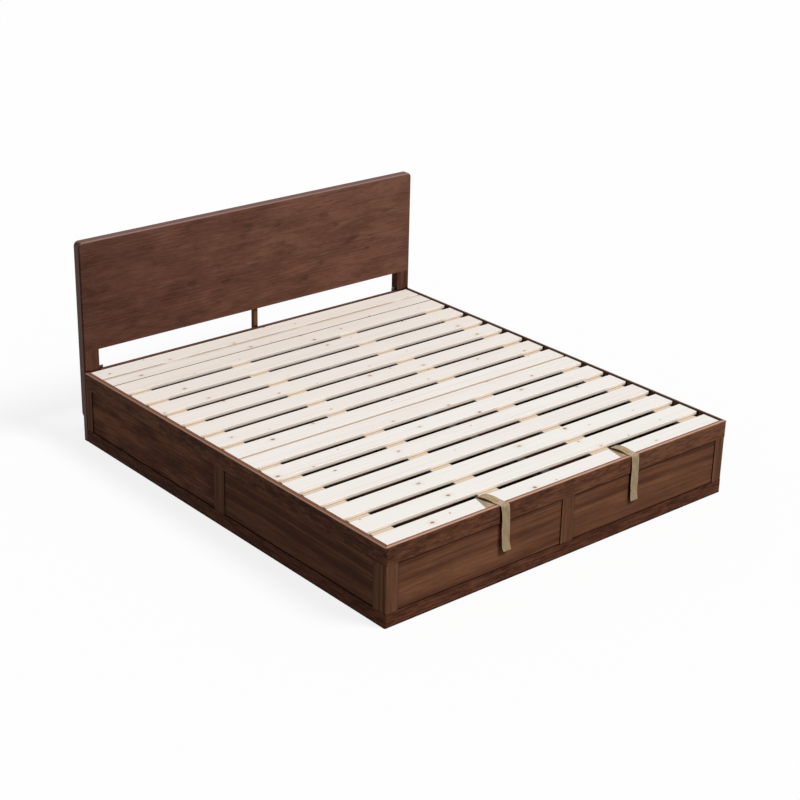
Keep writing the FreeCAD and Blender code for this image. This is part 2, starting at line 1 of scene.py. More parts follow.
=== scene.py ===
import math
import bmesh
import bpy
import numpy as np
from mathutils import Matrix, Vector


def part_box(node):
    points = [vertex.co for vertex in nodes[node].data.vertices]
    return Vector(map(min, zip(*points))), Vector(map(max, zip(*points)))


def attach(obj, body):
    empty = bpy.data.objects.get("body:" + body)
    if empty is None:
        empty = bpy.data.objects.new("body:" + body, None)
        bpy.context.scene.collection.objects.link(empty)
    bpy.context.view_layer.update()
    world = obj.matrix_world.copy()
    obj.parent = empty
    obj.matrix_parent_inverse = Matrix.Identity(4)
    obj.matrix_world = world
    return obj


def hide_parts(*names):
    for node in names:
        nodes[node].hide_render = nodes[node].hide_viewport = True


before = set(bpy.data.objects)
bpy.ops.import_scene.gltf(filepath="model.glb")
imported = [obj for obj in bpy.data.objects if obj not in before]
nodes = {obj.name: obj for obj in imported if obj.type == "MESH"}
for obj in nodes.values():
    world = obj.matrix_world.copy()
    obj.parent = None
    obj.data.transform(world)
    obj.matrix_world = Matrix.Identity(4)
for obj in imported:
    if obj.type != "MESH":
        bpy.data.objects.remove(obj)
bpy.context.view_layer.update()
scene = bpy.context.scene
print("frame loaded:", len(nodes), "nodes")

cameraLook = {
    "place": (-4.5378, -5.29175, 3.302),
    "azimuth": -40.74339,
    "elevation": 23.25289,
    "roll": 1.39632,
    "lens": 79.89291,
    "sensor": 36.0,
    "farEnd": 60.0,
}
lightLook = {
    "toward": (0.30, -0.48, 0.75),  # from the bed to the lamp
    "strength": 2.95,
    "softness": 22.0,  # degrees across the lamp
    "ambient": 0.285,
}
floorLook = {"half": 14.0, "grid": 5, "drop": 0.0005, "albedo": 0.9, "bounce": 0.24, "shadowShare": 0.16}


def tint(red, green, blue):  # display colour, 0 to 255, to linear
    value = np.array([red, green, blue]) / 255.0
    linear = np.where(value <= 0.04045, value / 12.92, ((value + 0.055) / 1.055) ** 2.4)
    return (*linear.tolist(), 1.0)


def placeCamera(look):
    az, el, roll = (math.radians(look[k]) for k in ("azimuth", "elevation", "roll"))
    back = np.array([math.sin(az) * math.cos(el), -math.cos(az) * math.cos(el), math.sin(el)])
    right = np.array([math.cos(az), math.sin(az), 0.0])
    up = np.cross(back, right)
    leanRight = right * math.cos(roll) + up * math.sin(roll)
    leanUp = up * math.cos(roll) - right * math.sin(roll)
    data = bpy.data.cameras.new("photoCamera")
    data.sensor_width = look["sensor"]
    data.lens = look["lens"]
    data.clip_end = look["farEnd"]
    camera = bpy.data.objects.new("photoCamera", data)
    turn = Matrix(np.column_stack([leanRight, leanUp, back]).tolist()).to_4x4()
    camera.matrix_world = Matrix.Translation(look["place"]) @ turn
    scene.collection.objects.link(camera)
    scene.camera = camera


def feedNode(tree, node, feeds):  # a feed is a socket to link or a plain value
    for key, value in feeds.items():
        if isinstance(value, bpy.types.NodeSocket):
            tree.links.new(value, node.inputs[key])
        else:
            node.inputs[key].default_value = value
    return node


def addNode(tree, kind, feeds, **options):
    node = tree.nodes.new("ShaderNode" + kind)
    for key, value in options.items():
        setattr(node, key, value)
    return feedNode(tree, node, feeds)


def calc(tree, operation, first, second=0.0, third=0.0):
    return addNode(tree, "Math", {0: first, 1: second, 2: third}, operation=operation).outputs[0]


def vecCalc(tree, operation, first, second=(0.0, 0.0, 0.0)):
    node = addNode(tree, "VectorMath", {0: first, 1: second}, operation=operation)
    scalar = operation in ("LENGTH", "DOT_PRODUCT", "DISTANCE")
    return node.outputs["Value" if scalar else "Vector"]


def spread(tree, value, low, high, toLow=0.0, toHigh=1.0):  # smooth step from low to high
    feeds = {"Value": value, "From Min": low, "From Max": high, "To Min": toLow, "To Max": toHigh}
    return addNode(tree, "MapRange", feeds, interpolation_type="SMOOTHSTEP").outputs[0]


def noiseNode(tree, space, stretch, detail=2.0, roughness=0.5, distortion=0.0):
    feeds = {"Vector": vecCalc(tree, "MULTIPLY", space, stretch), "Scale": 1.0, "Detail": detail,
             "Roughness": roughness, "Distortion": distortion}
    return addNode(tree, "TexNoise", feeds)


def noiseOf(tree, space, stretch, detail=2.0, roughness=0.5, distortion=0.0):
    return noiseNode(tree, space, stretch, detail, roughness, distortion).outputs[0]


def lineNoise(tree, place, scale, detail, roughness=0.55):  # noise of one running length
    feeds = {"W": calc(tree, "MULTIPLY", place, scale), "Scale": 1.0, "Detail": detail, "Roughness": roughness}
    return addNode(tree, "TexNoise", feeds, noise_dimensions="1D").outputs[0]


def toneRamp(tree, value, stops):  # stops: (place, colour)
    node = addNode(tree, "ValToRGB", {0: value})
    band = node.color_ramp
    while len(band.elements) < len(stops):
        band.elements.new(1.0)
    for element, (place, colour) in zip(band.elements, stops):
        element.position = place
        element.color = colour
    return node.outputs[0]


def blendTint(tree, share, first, second, way="MIX"):
    node = addNode(tree, "Mix", {0: share, 6: first, 7: second}, data_type="RGBA", blend_type=way)
    return node.outputs[2]


def shadeBy(tree, colour, share):  # colour times a plain share
    grey = addNode(tree, "CombineColor", {0: share, 1: share, 2: share}).outputs[0]
    return blendTint(tree, 1.0, colour, grey, "MULTIPLY")


def backdropRays(tree):  # 1 for camera, mirror and see-through rays
    rays = addNode(tree, "LightPath", {})
    share = calc(tree, "MAXIMUM", rays.outputs["Is Camera Ray"], rays.outputs["Is Glossy Ray"])
    return calc(tree, "MAXIMUM", share, rays.outputs["Is Transmission Ray"])


def setLight(look):
    data = bpy.data.lights.new("studioLamp", "SUN")
    data.energy = look["strength"]
    data.angle = math.radians(look["softness"])
    lamp = bpy.data.objects.new("studioLamp", data)
    toward = np.array(look["toward"]) / np.linalg.norm(look["toward"])
    side = np.cross((0.0, 0.0, 1.0), toward)
    side = side / np.linalg.norm(side)
    turn = np.column_stack([side, np.cross(toward, side), toward])
    lamp.matrix_world = Matrix(turn.tolist()).to_4x4()
    scene.collection.objects.link(lamp)
    world = bpy.data.worlds.new("studioRoom")
    world.use_nodes = True
    tree = world.node_tree
    tree.nodes.clear()
    ambient = addNode(tree, "Background", {"Color": (1, 1, 1, 1), "Strength": look["ambient"]})
    white = addNode(tree, "Background", {"Color": (1, 1, 1, 1), "Strength": 1.0})
    mixed = addNode(tree, "MixShader", {0: backdropRays(tree), 1: ambient.outputs[0], 2: white.outputs[0]})
    addNode(tree, "OutputWorld", {"Surface": mixed.outputs[0]})
    scene.world = world


def gridQuads(rows, columns, wrap):  # quads between a grid's neighbours; wrap joins the last column to the first
    row = np.arange(rows - 1)[:, None]
    column = np.arange(columns if wrap else columns - 1)[None, :]
    after = (column + 1) % columns
    corners = [row * columns + column, row * columns + after,
               (row + 1) * columns + after, (row + 1) * columns + column]
    return np.stack(corners, -1).reshape(-1, 4)


def layFloor(look):  # flat square: x and y run over the two grid parameters, z is just under nought
    count = look["grid"]
    steps = np.linspace(-look["half"], look["half"], count)
    u, v = np.meshgrid(steps, steps, indexing="ij")
    mesh = bpy.data.meshes.new("studioFloor")
    points = np.stack([u, v, np.full_like(u, -look["drop"])], -1).reshape(-1, 3)
    mesh.from_pydata(points.tolist(), [], gridQuads(count, count, False)[:, ::-1].tolist())
    finish = bpy.data.materials.new("floorPaper")
    finish.use_nodes = True
    tree = finish.node_tree
    tree.nodes.clear()
    dull = addNode(tree, "BsdfDiffuse", {"Color": (look["bounce"],) * 3 + (1,)})
    pale = addNode(tree, "BsdfDiffuse", {"Color": (look["albedo"],) * 3 + (1,)})
    glow = addNode(tree, "Emission", {"Color": (1, 1, 1, 1), "Strength": 1.0})
    seen = addNode(tree, "MixShader", {0: look["shadowShare"], 1: glow.outputs[0], 2: pale.outputs[0]})
    mixed = addNode(tree, "MixShader", {0: backdropRays(tree), 1: dull.outputs[0], 2: seen.outputs[0]})
    addNode(tree, "OutputMaterial", {"Surface": mixed.outputs[0]})
    mesh.materials.append(finish)
    floor = bpy.data.objects.new("studioFloor", mesh)
    scene.collection.objects.link(floor)


placeCamera(cameraLook)
setLight(lightLook)
layFloor(floorLook)
scene.view_settings.view_transform = "Standard"
print("camera, lamp and floor placed")


def newFinish(name):
    finish = bpy.data.materials.new(name)
    finish.use_nodes = True
    tree = finish.node_tree
    tree.nodes.clear()
    shade = addNode(tree, "BsdfPrincipled", {})
    addNode(tree, "OutputMaterial", {"Surface": shade.outputs[0]})
    return finish, tree, shade


def bumpOf(tree, height, strength, distance):
    return addNode(tree, "Bump", {"Height": height, "Strength": strength, "Distance": distance}).outputs[0]


grainTurn = {"x": (0.0, 0.0, 0.0), "y": (0.0, 0.0, -math.pi / 2), "z": (0.0, math.pi / 2, 0.0)}
seedStep = (1.7, 0.61, 0.37)  # how far one seed moves a board's figure
origin = (0.0, 0.0, 0.0)


def grainSpace(tree, grain, centre):  # x runs with the grain, from the piece's own middle
    x, y, z = centre
    turned = {"x": (x, y, z), "y": (y, -x, z), "z": (z, y, -x)}[grain]
    source = addNode(tree, "TexCoord", {}).outputs["Object"]
    feeds = {"Vector": source, "Rotation": grainTurn[grain], "Location": tuple(-c for c in turned)}
    return addNode(tree, "Mapping", feeds).outputs[0]


def middleOf(name):
    low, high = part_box(name)
    return [(a + b) / 2 for a, b in zip(low, high)]


def placeAxes(tree):
    return addNode(tree, "SeparateXYZ", {0: addNode(tree, "TexCoord", {}).outputs["Object"]}).outputs


def faceAxes(tree):
    return addNode(tree, "SeparateXYZ", {0: addNode(tree, "NewGeometry", {}).outputs["Normal"]}).outputs


def edgeShare(tree, radius, low, high):  # how far the rounded normal leans off the face: 0 flat, 1 on an arris
    soft = addNode(tree, "Bevel", {"Radius": radius}, samples=6).outputs[0]
    flat = addNode(tree, "NewGeometry", {}).outputs["Normal"]
    lean = calc(tree, "SUBTRACT", 1.0, vecCalc(tree, "DOT_PRODUCT", soft, flat))
    return spread(tree, lean, low, high)


def ownSpace(tree, space, seed):  # each board's figure from its own place, so that no two match
    return vecCalc(tree, "ADD", space, tuple(seed * step for step in seedStep))


def paintedCreviceShade(tree, look):  # painted shade: darker where another board stands within reach
    clear = addNode(tree, "AmbientOcclusion", {"Distance": look["creviceReach"]}, samples=8).outputs["AO"]
    return spread(tree, clear, *look["creviceRange"], look["creviceDepth"], 1.0)


walnutLook = {
    # gains of each field on the tone, and the tones' display colours
    "panel": {"dark": (81, 50, 36), "mid": (108, 70, 50), "light": (133, 91, 66), "bands": 1.9, "lines": 0.45,
              "mottle": 0.4, "fleck": 0.8, "smudge": 0.0, "bandScale": 19.0, "lineScale": 120.0,
              "fleckScale": (3.5, 75.0, 75.0)},
    "patchy": {"dark": (76, 45, 31), "mid": (104, 64, 45), "light": (129, 84, 60), "bands": 0.5, "lines": 0.5,
               "mottle": 1.2, "fleck": 1.3, "smudge": 0.0, "bandScale": 24.0, "lineScale": 120.0,
               "fleckScale": (6.0, 85.0, 85.0)},
    "rail": {"dark": (70, 42, 31), "mid": (95, 61, 44), "light": (119, 79, 58), "bands": 0.6, "lines": 0.5,
             "mottle": 0.7, "fleck": 1.7, "smudge": 0.1, "bandScale": 30.0, "lineScale": 150.0,
             "fleckScale": (20.0, 105.0, 105.0)},
    "plinth": {"dark": (62, 35, 25), "mid": (86, 51, 36), "light": (109, 69, 49), "bands": 0.6, "lines": 0.5,
               "mottle": 0.7, "fleck": 1.8, "smudge": 0.1, "bandScale": 30.0, "lineScale": 150.0,
               "fleckScale": (16.0, 100.0, 100.0)},
    "post": {"dark": (80, 51, 37), "mid": (107, 71, 52), "light": (133, 93, 69), "bands": 0.7, "lines": 1.2,
             "mottle": 0.2, "fleck": 0.8, "smudge": 0.0, "bandScale": 40.0, "lineScale": 95.0,
             "fleckScale": (5.5, 92.0, 92.0)},
    "slab": {"dark": (75, 47, 37), "mid": (101, 67, 54), "light": (126, 88, 73), "bands": 0.15, "lines": 0.3,
             "mottle": 0.6, "fleck": 0.6, "smudge": 0.3, "bandScale": 26.0, "lineScale": 170.0,
             "fleckScale": (15.0, 140.0, 140.0)},
    "leg": {"dark": (64, 38, 29), "mid": (87, 55, 42), "light": (109, 72, 56), "bands": 0.3, "lines": 0.5,
            "mottle": 0.5, "fleck": 0.8, "smudge": 0.0, "bandScale": 26.0, "lineScale": 150.0,
            "fleckScale": (8.0, 100.0, 100.0)},
    # a board's tone: an offset, and how it drifts along the grain and upwards per metre; the headboard's and the foot
    # rail's rise towards the right is painted light, falling off to the left
    "drift": {"headboard_panel": (0.0, 0.15, 0.3), "foot_top_rail": (0.0, 0.1, 0.0), "foot_plinth": (0.0, -0.05, 0.0),
              "side_top_rail_left": (0.06, 0.1, 0.0), "side_plinth_left": (0.05, -0.06, 0.0),
              "foot_panel_left": (-0.09, 0.0, 0.0), "foot_panel_right": (-0.06, 0.0, 0.0)},
    "sideGain": 1.5,  # the boards that run along the sides show more figure
    "wander": (0.75, 2.6, 2.6),  # how fast the grain strays, along and across
    "sway": 0.05,
    "pith": 0.11,  # how far behind the board's middle its rings begin
    "pithSwing": (0.07, 5.1),  # how that place swings from board to board
    "lineDetail": 3.0,
    "mottleNoise": ((4.2, 12.0, 12.0), 3.0, 0.55, 0.3),  # stretch, detail, roughness, distortion
    "fleckNoise": (4.0, 0.7, 0.2),
    "toneStops": (0.2, 0.5, 0.8),
    "poreScale": (30.0, 1150.0, 1150.0),
    "poreRange": (0.61, 0.7),
    "poreDepth": 0.35,
    "smudgeScale": (8.0, 17.0, 17.0),
    "smudgeRange": (0.6, 0.74),
    "paleEdgeReach": (0.003, 0.03, 0.25),  # arris radius, and the lean at which the pale edge begins and is full
    # pale arrises: partly wear, partly painted highlight
    "wearAndHighlightTint": (152, 110, 86),
    "paleEdgeShare": 0.16,
    # painted shade in the crevices: its reach, the occlusion range it spreads over, and its darkest share
    "creviceReach": 0.012,
    "creviceRange": (0.66, 0.985),
    "creviceDepth": 0.12,
    "sheen": (0.2, 0.42),  # the lines' gain on the roughness, and its base
    "lineRelief": 0.6,
    "bump": (0.2, 0.0005),
    "specular": 0.02,
}
# painted highlight on the rail tops; on the right rail the inner part is painted shade
railTopLook = {
    "rise": (0.3256, 0.3276),
    "share": 0.92,
    # from the outer face: where the painted bright arris begins, and where it gives way to brown
    "foot": {"begin": (0.0015, 0.0050), "switch": (0.0105, 0.0130), "arris": (196, 160, 138), "inner": (152, 108, 85)},
    "left": {"begin": (-0.001, 0.0005), "switch": (0.0035, 0.0065), "arris": (170, 134, 114), "inner": (120, 82, 61)},
    # the right rail's dark inner part is painted shade
    "right": {"begin": (-0.001, 0.0005), "switch": (0.0080, 0.0110), "arris": (146, 116, 99), "inner": (44, 28, 21)},
}
mitreLook = {"halfWidth": 0.925, "footFace": -1.04375, "line": (0.0004, 0.0009), "depth": 0.45}
slabEdgeLook = {
    "top": (0.9165, 0.9192),
    "outside": (0.915, 0.92),
    "topTint": (112, 84, 78),
    "sideTint": (140, 112, 106),
    # painted highlight along the front arris on top
    "frontTint": (138, 111, 107),
    "share": 0.9,
    # painted shade on the front arris at both ends: the share of colour left
    "arris": 0.58,
    # how far a face turns before each mark begins and is full
    "turnBegin": (0.15, 0.45),
    "turnEnd": (0.98, 0.85),
    "turnFront": (-0.05, -0.2),
    "endFace": (0.85, 0.97),
    "frontFace": (-0.25, -0.5),
    "upFace": (0.25, 0.5),
}


def ringDistance(tree, space, own, pith):  # length from a pith line that strays slowly along the grain
    stray = noiseNode(tree, own, walnutLook["wander"], 2.0).outputs["Color"]
    sway = walnutLook["sway"]
    stray = vecCalc(tree, "MULTIPLY", vecCalc(tree, "SUBTRACT", stray, (0.5, 0.5, 0.5)), (0.0, sway, sway))
    apart = vecCalc(tree, "SUBTRACT", vecCalc(tree, "ADD", space, stray), pith)
    return vecCalc(tree, "LENGTH", vecCalc(tree, "MULTIPLY", apart, (0.0, 1.0, 1.0)))


def railMarks(tree, colour, run):  # painted highlight on the rail top, a bright outer arris giving way to brown, with painted shade on the right rail's inner part; and the mitre's dark line at the foot corners
    place, look = placeAxes(tree), railTopLook[run]
    across = calc(tree, "SUBTRACT", mitreLook["halfWidth"], calc(tree, "ABSOLUTE", place[0]))
    along = calc(tree, "SUBTRACT", place[1], mitreLook["footFace"])
    inset = along if run == "foot" else across
    # painted highlight across the rail top, and painted shade on the right rail's inner part
    edgeMark = blendTint(tree, spread(tree, inset, *look["switch"]), tint(*look["arris"]), tint(*look["inner"]))
    top = spread(tree, place[2], *railTopLook["rise"], 0.0, railTopLook["share"])
    colour = blendTint(tree, calc(tree, "MULTIPLY", top, spread(tree, inset, *look["begin"])), colour, edgeMark)
    apart = calc(tree, "ABSOLUTE", calc(tree, "SUBTRACT", across, along))
    return shadeBy(tree, colour, spread(tree, apart, *mitreLook["line"], mitreLook["depth"], 1.0))


def slabMarks(tree, colour):  # greyer top and ends, a painted highlight along the front arris on top and painted shade on the front arris at both ends
    place, face = placeAxes(tree), faceAxes(tree)
    look = slabEdgeLook
    endward = calc(tree, "ABSOLUTE", face[0])
    # painted shade on the front arris at both ends
    turning = calc(tree, "MULTIPLY", spread(tree, endward, *look["turnBegin"]), spread(tree, endward, *look["turnEnd"]))
    turning = calc(tree, "MULTIPLY", turning, spread(tree, face[1], *look["turnFront"]))
    top = spread(tree, place[2], *look["top"], 0.0, look["share"])
    outside = spread(tree, calc(tree, "ABSOLUTE", place[0]), *look["outside"])
    end = calc(tree, "MULTIPLY", outside, spread(tree, endward, *look["endFace"], 0.0, look["share"]))
    # painted highlight along the front arris on top
    front = calc(tree, "MULTIPLY", spread(tree, face[1], *look["frontFace"]), spread(tree, face[2], *look["upFace"]))
    colour = blendTint(tree, top, colour, tint(*look["topTint"]))
    colour = blendTint(tree, front, colour, tint(*look["frontTint"]))
    colour = blendTint(tree, end, colour, tint(*look["sideTint"]))
    return shadeBy(tree, colour, spread(tree, turning, 0.0, 1.0, 1.0, look["arris"]))


def walnutFinish(name, kind, grain, seed):  # bands and lines of the rings, mottle and flecks add up to a tone
    look, shared = walnutLook[kind], walnutLook
    finish, tree, shade = newFinish("walnut_" + name)
    space = grainSpace(tree, grain, middleOf(name))
    own = ownSpace(tree, space, seed)
    swing, pace = shared["pithSwing"]
    pith = (0.0, shared["pith"], swing * math.sin(seed * pace))
    ring = calc(tree, "ADD", ringDistance(tree, space, own, pith), seed)
    fields = {
        "bands": lineNoise(tree, ring, look["bandScale"], shared["lineDetail"]),
        "lines": lineNoise(tree, ring, look["lineScale"], shared["lineDetail"]),
        "mottle": noiseOf(tree, own, *shared["mottleNoise"]),
        "fleck": noiseOf(tree, own, look["fleckScale"], *shared["fleckNoise"]),
    }
    tone = 0.5
    # the boards' tone drift, with painted light rising towards the right on the headboard and the foot rail
    if name in shared["drift"]:
        offset, along, upward = shared["drift"][name]
        tone = calc(tree, "ADD", vecCalc(tree, "DOT_PRODUCT", space, (along, 0.0, upward)), tone + offset)
    gain = shared["sideGain"] if grain == "y" else 1.0
    for key, field in fields.items():
        tone = calc(tree, "MULTIPLY_ADD", calc(tree, "SUBTRACT", field, 0.5), look[key] * gain, tone)
    shown = (tint(*look[key]) for key in ("dark", "mid", "light"))
    colour = toneRamp(tree, tone, list(zip(shared["toneStops"], shown)))
    pores = spread(tree, noiseOf(tree, own, shared["poreScale"], 1.0), *shared["poreRange"])
    colour = shadeBy(tree, colour, calc(tree, "MULTIPLY_ADD", pores, -shared["poreDepth"], 1.0))
    if look["smudge"]:
        cloud = noiseOf(tree, own, shared["smudgeScale"], 2.0)
        colour = shadeBy(tree, colour, spread(tree, cloud, *shared["smudgeRange"], 1.0, 1.0 - look["smudge"]))
    # pale arrises, partly wear and partly painted highlight
    edgeMark = calc(tree, "MULTIPLY", edgeShare(tree, *shared["paleEdgeReach"]), shared["paleEdgeShare"])
    colour = blendTint(tree, edgeMark, colour, tint(*shared["wearAndHighlightTint"]))
    # painted highlight on the rail tops, and the mitre's dark line
    if kind in ("rail", "plinth"):
        colour = railMarks(tree, colour, name.split("_")[0 if grain == "x" else -1])
    # painted highlight and painted shade on the arrises of the headboard and its legs
    if kind in ("slab", "leg") and name != "rear_board":
        colour = slabMarks(tree, colour)
    # painted shade in the crevices
    colour = shadeBy(tree, colour, paintedCreviceShade(tree, shared))
    sheen = calc(tree, "MULTIPLY_ADD", fields["lines"], *shared["sheen"])
    height = calc(tree, "SUBTRACT", calc(tree, "MULTIPLY", fields["lines"], shared["lineRelief"]), pores)
    feedNode(tree, shade, {"Base Color": colour, "Roughness": sheen, "Specular IOR Level": shared["specular"],
                           "Normal": bumpOf(tree, height, *shared["bump"])})
    return finish


pineLook = {
    "slat": {"pale": (239, 235, 230), "warm": (233, 224, 215), "tan": (214, 194, 172)},
    "bearer": {"pale": (212, 196, 174), "warm": (206, 188, 162), "tan": (186, 164, 134)},
    "faceTint": (246, 233, 220),  # front faces, painted paler than the top as painted warm bounce light
    # rear faces painted warm as warm bounce light
    "rearTint": (236, 220, 204),
    "faceTurn": (0.5, 0.8),
    # faces that close on the next slat, painted with the joint's shade
    "frontJoints": {"deck_slat_08": (226, 206, 184), "head_slat_front": (112, 84, 64)},
    "rearJoints": {"deck_slat_07": (226, 206, 184), "deck_slat_14": (112, 84, 64)},
    "lowerEdge": (0.3142, 0.3200, 0.42),  # painted shade: the faces darken towards the underside
    "softJoint": "head_slat_front",  # painted shade: its top has a soft tan line along the rear edge, broken in places, standing for an open slot's shade
    "softReach": (0.028, 0.007),
    "softBreaks": ((3.0, 0.0, 0.0), 0.36, 0.5),
    "softTint": (184, 164, 146),
    "softShare": 0.9,
    "ringScale": (0.8, 95.0, 30.0),
    "ringNoise": (3.0, 0.55, 0.35),
    "fibreScale": (11.0, 640.0, 640.0),
    "patchScale": (1.3, 9.0, 3.0),
    "lateRange": (0.5, 0.74),
    "lateShare": 0.3,
    "strandRange": (0.52, 0.75),
    "strandShare": 0.1,
    "patchGain": 0.9,
    "warmRange": (-0.1, 1.1),
    "cell": (0.27, 0.115),  # one knot place per cell, along and across the slat
    "cellSpread": 0.85,
    "knotShare": 0.9,  # of the cells
    "knotSize": (0.003, 0.0098),
    "knotShape": (0.72, 1.0, 0.0),
    "raggedScale": (130.0, 190.0, 190.0),
    "raggedReach": 0.0045,
    "vivid": (0.5, 1.0),  # some knots are fainter
    # tint, share, and the depths where each part of a knot begins and is full: 1 is the knot's rim
    "halo": ((226, 208, 192), 0.35, (2.9, 0.9)),
    "knot": ((188, 152, 124), 0.75, (1.0, 0.72)),
    "core": ((122, 80, 54), 0.8, (0.7, 0.35)),
    "bowFall": -0.22,
    "bowPull": -0.62,  # the grain bows round the knot
    "lateRelief": 0.5,
    "knotRelief": -0.6,
    "sheen": (0.2, 0.56),
    "bump": (0.18, 0.0004),
    "specular": 0.15,
}


def slatFaces(tree, colour, name):  # narrow faces painted warmer as warm bounce light, with painted shade towards the underside and in a closed joint, and a painted shade line on one top
    look = pineLook
    face, place = faceAxes(tree)[1], placeAxes(tree)
    low, high, deepest = look["lowerEdge"]
    # painted shade towards the underside
    fade = spread(tree, place[2], low, high, deepest, 1.0)
    for turn, shown, joints in ((-1.0, "faceTint", "frontJoints"), (1.0, "rearTint", "rearJoints")):
        shown = look[joints].get(name, look[shown])
        share = spread(tree, calc(tree, "MULTIPLY", face, turn), *look["faceTurn"])
        colour = blendTint(tree, share, colour, shadeBy(tree, tint(*shown), fade))
    # painted shade of an open slot along this slat's rear edge
    if name == look["softJoint"]:
        inset = calc(tree, "SUBTRACT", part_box(name)[1][1], place[1])
        stretch, low, high = look["softBreaks"]
        source = addNode(tree, "TexCoord", {}).outputs["Object"]
        broken = spread(tree, noiseOf(tree, source, stretch), low, high)
        soft = calc(tree, "MULTIPLY", spread(tree, inset, *look["softReach"]), broken)
        soft = calc(tree, "MULTIPLY", soft, look["softShare"])
        colour = blendTint(tree, soft, colour, tint(*look["softTint"]))
    return colour


def pineFinish(name, kind, grain, seed, toneWarmth):  # the last argument warms the board, 0 to 1
    look, shared = pineLook[kind], pineLook
    finish, tree, shade = newFinish("pine_" + name)
    space = ownSpace(tree, grainSpace(tree, grain, origin), seed)
    cellX, cellY = shared["cell"]
    flat = vecCalc(tree, "MULTIPLY", space, (1 / cellX, 1 / cellY, 0.0))
    feeds = {"Vector": flat, "Scale": 1.0, "Randomness": shared["cellSpread"]}
    cells = addNode(tree, "TexVoronoi", feeds, voronoi_dimensions="2D")
    away = vecCalc(tree, "SUBTRACT", flat, cells.outputs["Position"])
    away = vecCalc(tree, "MULTIPLY", away, (cellX, cellY, 0.0))
    ragged = noiseOf(tree, space, shared["raggedScale"], 2.0)
    reach = vecCalc(tree, "LENGTH", vecCalc(tree, "MULTIPLY", away, shared["knotShape"]))
    reach = calc(tree, "MULTIPLY_ADD", calc(tree, "SUBTRACT", ragged, 0.5), shared["raggedReach"], reach)
    luck = addNode(tree, "SeparateColor", {0: cells.outputs["Color"]}).outputs
    size = spread(tree, luck[0], 0.0, 1.0, *shared["knotSize"])
    there = calc(tree, "LESS_THAN", luck[1], shared["knotShare"])
    depth = calc(tree, "DIVIDE", reach, size)
    pull = calc(tree, "EXPONENT", calc(tree, "MULTIPLY", calc(tree, "MULTIPLY", depth, depth), shared["bowFall"]))
    pull = calc(tree, "MULTIPLY", calc(tree, "MULTIPLY", pull, there), shared["bowPull"])
    shove = addNode(tree, "CombineXYZ", {1: pull}).outputs[0]
    bent = vecCalc(tree, "ADD", space, vecCalc(tree, "MULTIPLY", away, shove))
    rings = noiseOf(tree, bent, shared["ringScale"], *shared["ringNoise"])
    fibre = noiseOf(tree, bent, shared["fibreScale"], 2.0)
    patch = noiseOf(tree, space, shared["patchScale"], 2.0)
    late = spread(tree, rings, *shared["lateRange"])
    warmth = calc(tree, "MULTIPLY_ADD", calc(tree, "SUBTRACT", patch, 0.5), shared["patchGain"], toneWarmth)
    warmth = spread(tree, warmth, *shared["warmRange"])
    colour = blendTint(tree, warmth, tint(*look["pale"]), tint(*look["warm"]))
    strands = spread(tree, fibre, *shared["strandRange"])
    for field, share in ((late, shared["lateShare"]), (strands, shared["strandShare"])):
        colour = blendTint(tree, calc(tree, "MULTIPLY", field, share), colour, tint(*look["tan"]))
    vivid = spread(tree, luck[2], 0.0, 1.0, *shared["vivid"])
    parts = {}
    for part in ("halo", "knot", "core"):
        shown, share, edge = shared[part]
        parts[part] = calc(tree, "MULTIPLY", spread(tree, depth, *edge), there)
        seen = parts[part] if part == "halo" else calc(tree, "MULTIPLY", parts[part], vivid)
        colour = blendTint(tree, calc(tree, "MULTIPLY", seen, share), colour, tint(*shown))
    if kind == "slat":
        colour = slatFaces(tree, colour, name)
    height = calc(tree, "MULTIPLY_ADD", late, shared["lateRelief"], fibre)
    height = calc(tree, "MULTIPLY_ADD", parts["knot"], shared["knotRelief"], height)
    rough = calc(tree, "MULTIPLY_ADD", fibre, *shared["sheen"])
    feedNode(tree, shade, {"Base Color": colour, "Roughness": rough, "Specular IOR Level": shared["specular"],
                           "Normal": bumpOf(tree, height, *shared["bump"])})
    return finish


boardLook = {
    "face": (100, 56, 37),
    "vein": (78, 43, 28),
    "edge": (84, 48, 32),
    "place": (3.1, 1.9, 1.1),
    "veinScale": (0.7, 26.0, 26.0),
    "veinNoise": (4.0, 0.6, 0.8),
    "veinRange": (0.35, 0.7),
    "fibreScale": (9.0, 420.0, 420.0),
    "edgeTurn": (0.4, 0.6),
    "sheen": (0.2, 0.48),
    "bump": (0.12, 0.0004),
    "specular": 0.1,
}


def boardFinish(name):  # dark brown faced board: a soft printed grain on the faces, a plainer banded edge
    look = boardLook
    finish, tree, shade = newFinish(name)
    space = vecCalc(tree, "ADD", grainSpace(tree, "y", origin), look["place"])
    veins = noiseOf(tree, space, look["veinScale"], *look["veinNoise"])
    fibre = noiseOf(tree, space, look["fibreScale"], 2.0)
    colour = blendTint(tree, spread(tree, veins, *look["veinRange"]), tint(*look["face"]), tint(*look["vein"]))
    narrow = spread(tree, calc(tree, "ABSOLUTE", faceAxes(tree)[1]), *look["edgeTurn"])
    colour = blendTint(tree, narrow, colour, tint(*look["edge"]))
    rough = calc(tree, "MULTIPLY_ADD", fibre, *look["sheen"])
    feedNode(tree, shade, {"Base Color": colour, "Roughness": rough, "Specular IOR Level": look["specular"],
                           "Normal": bumpOf(tree, calc(tree, "ADD", veins, fibre), *look["bump"])})
    return finish


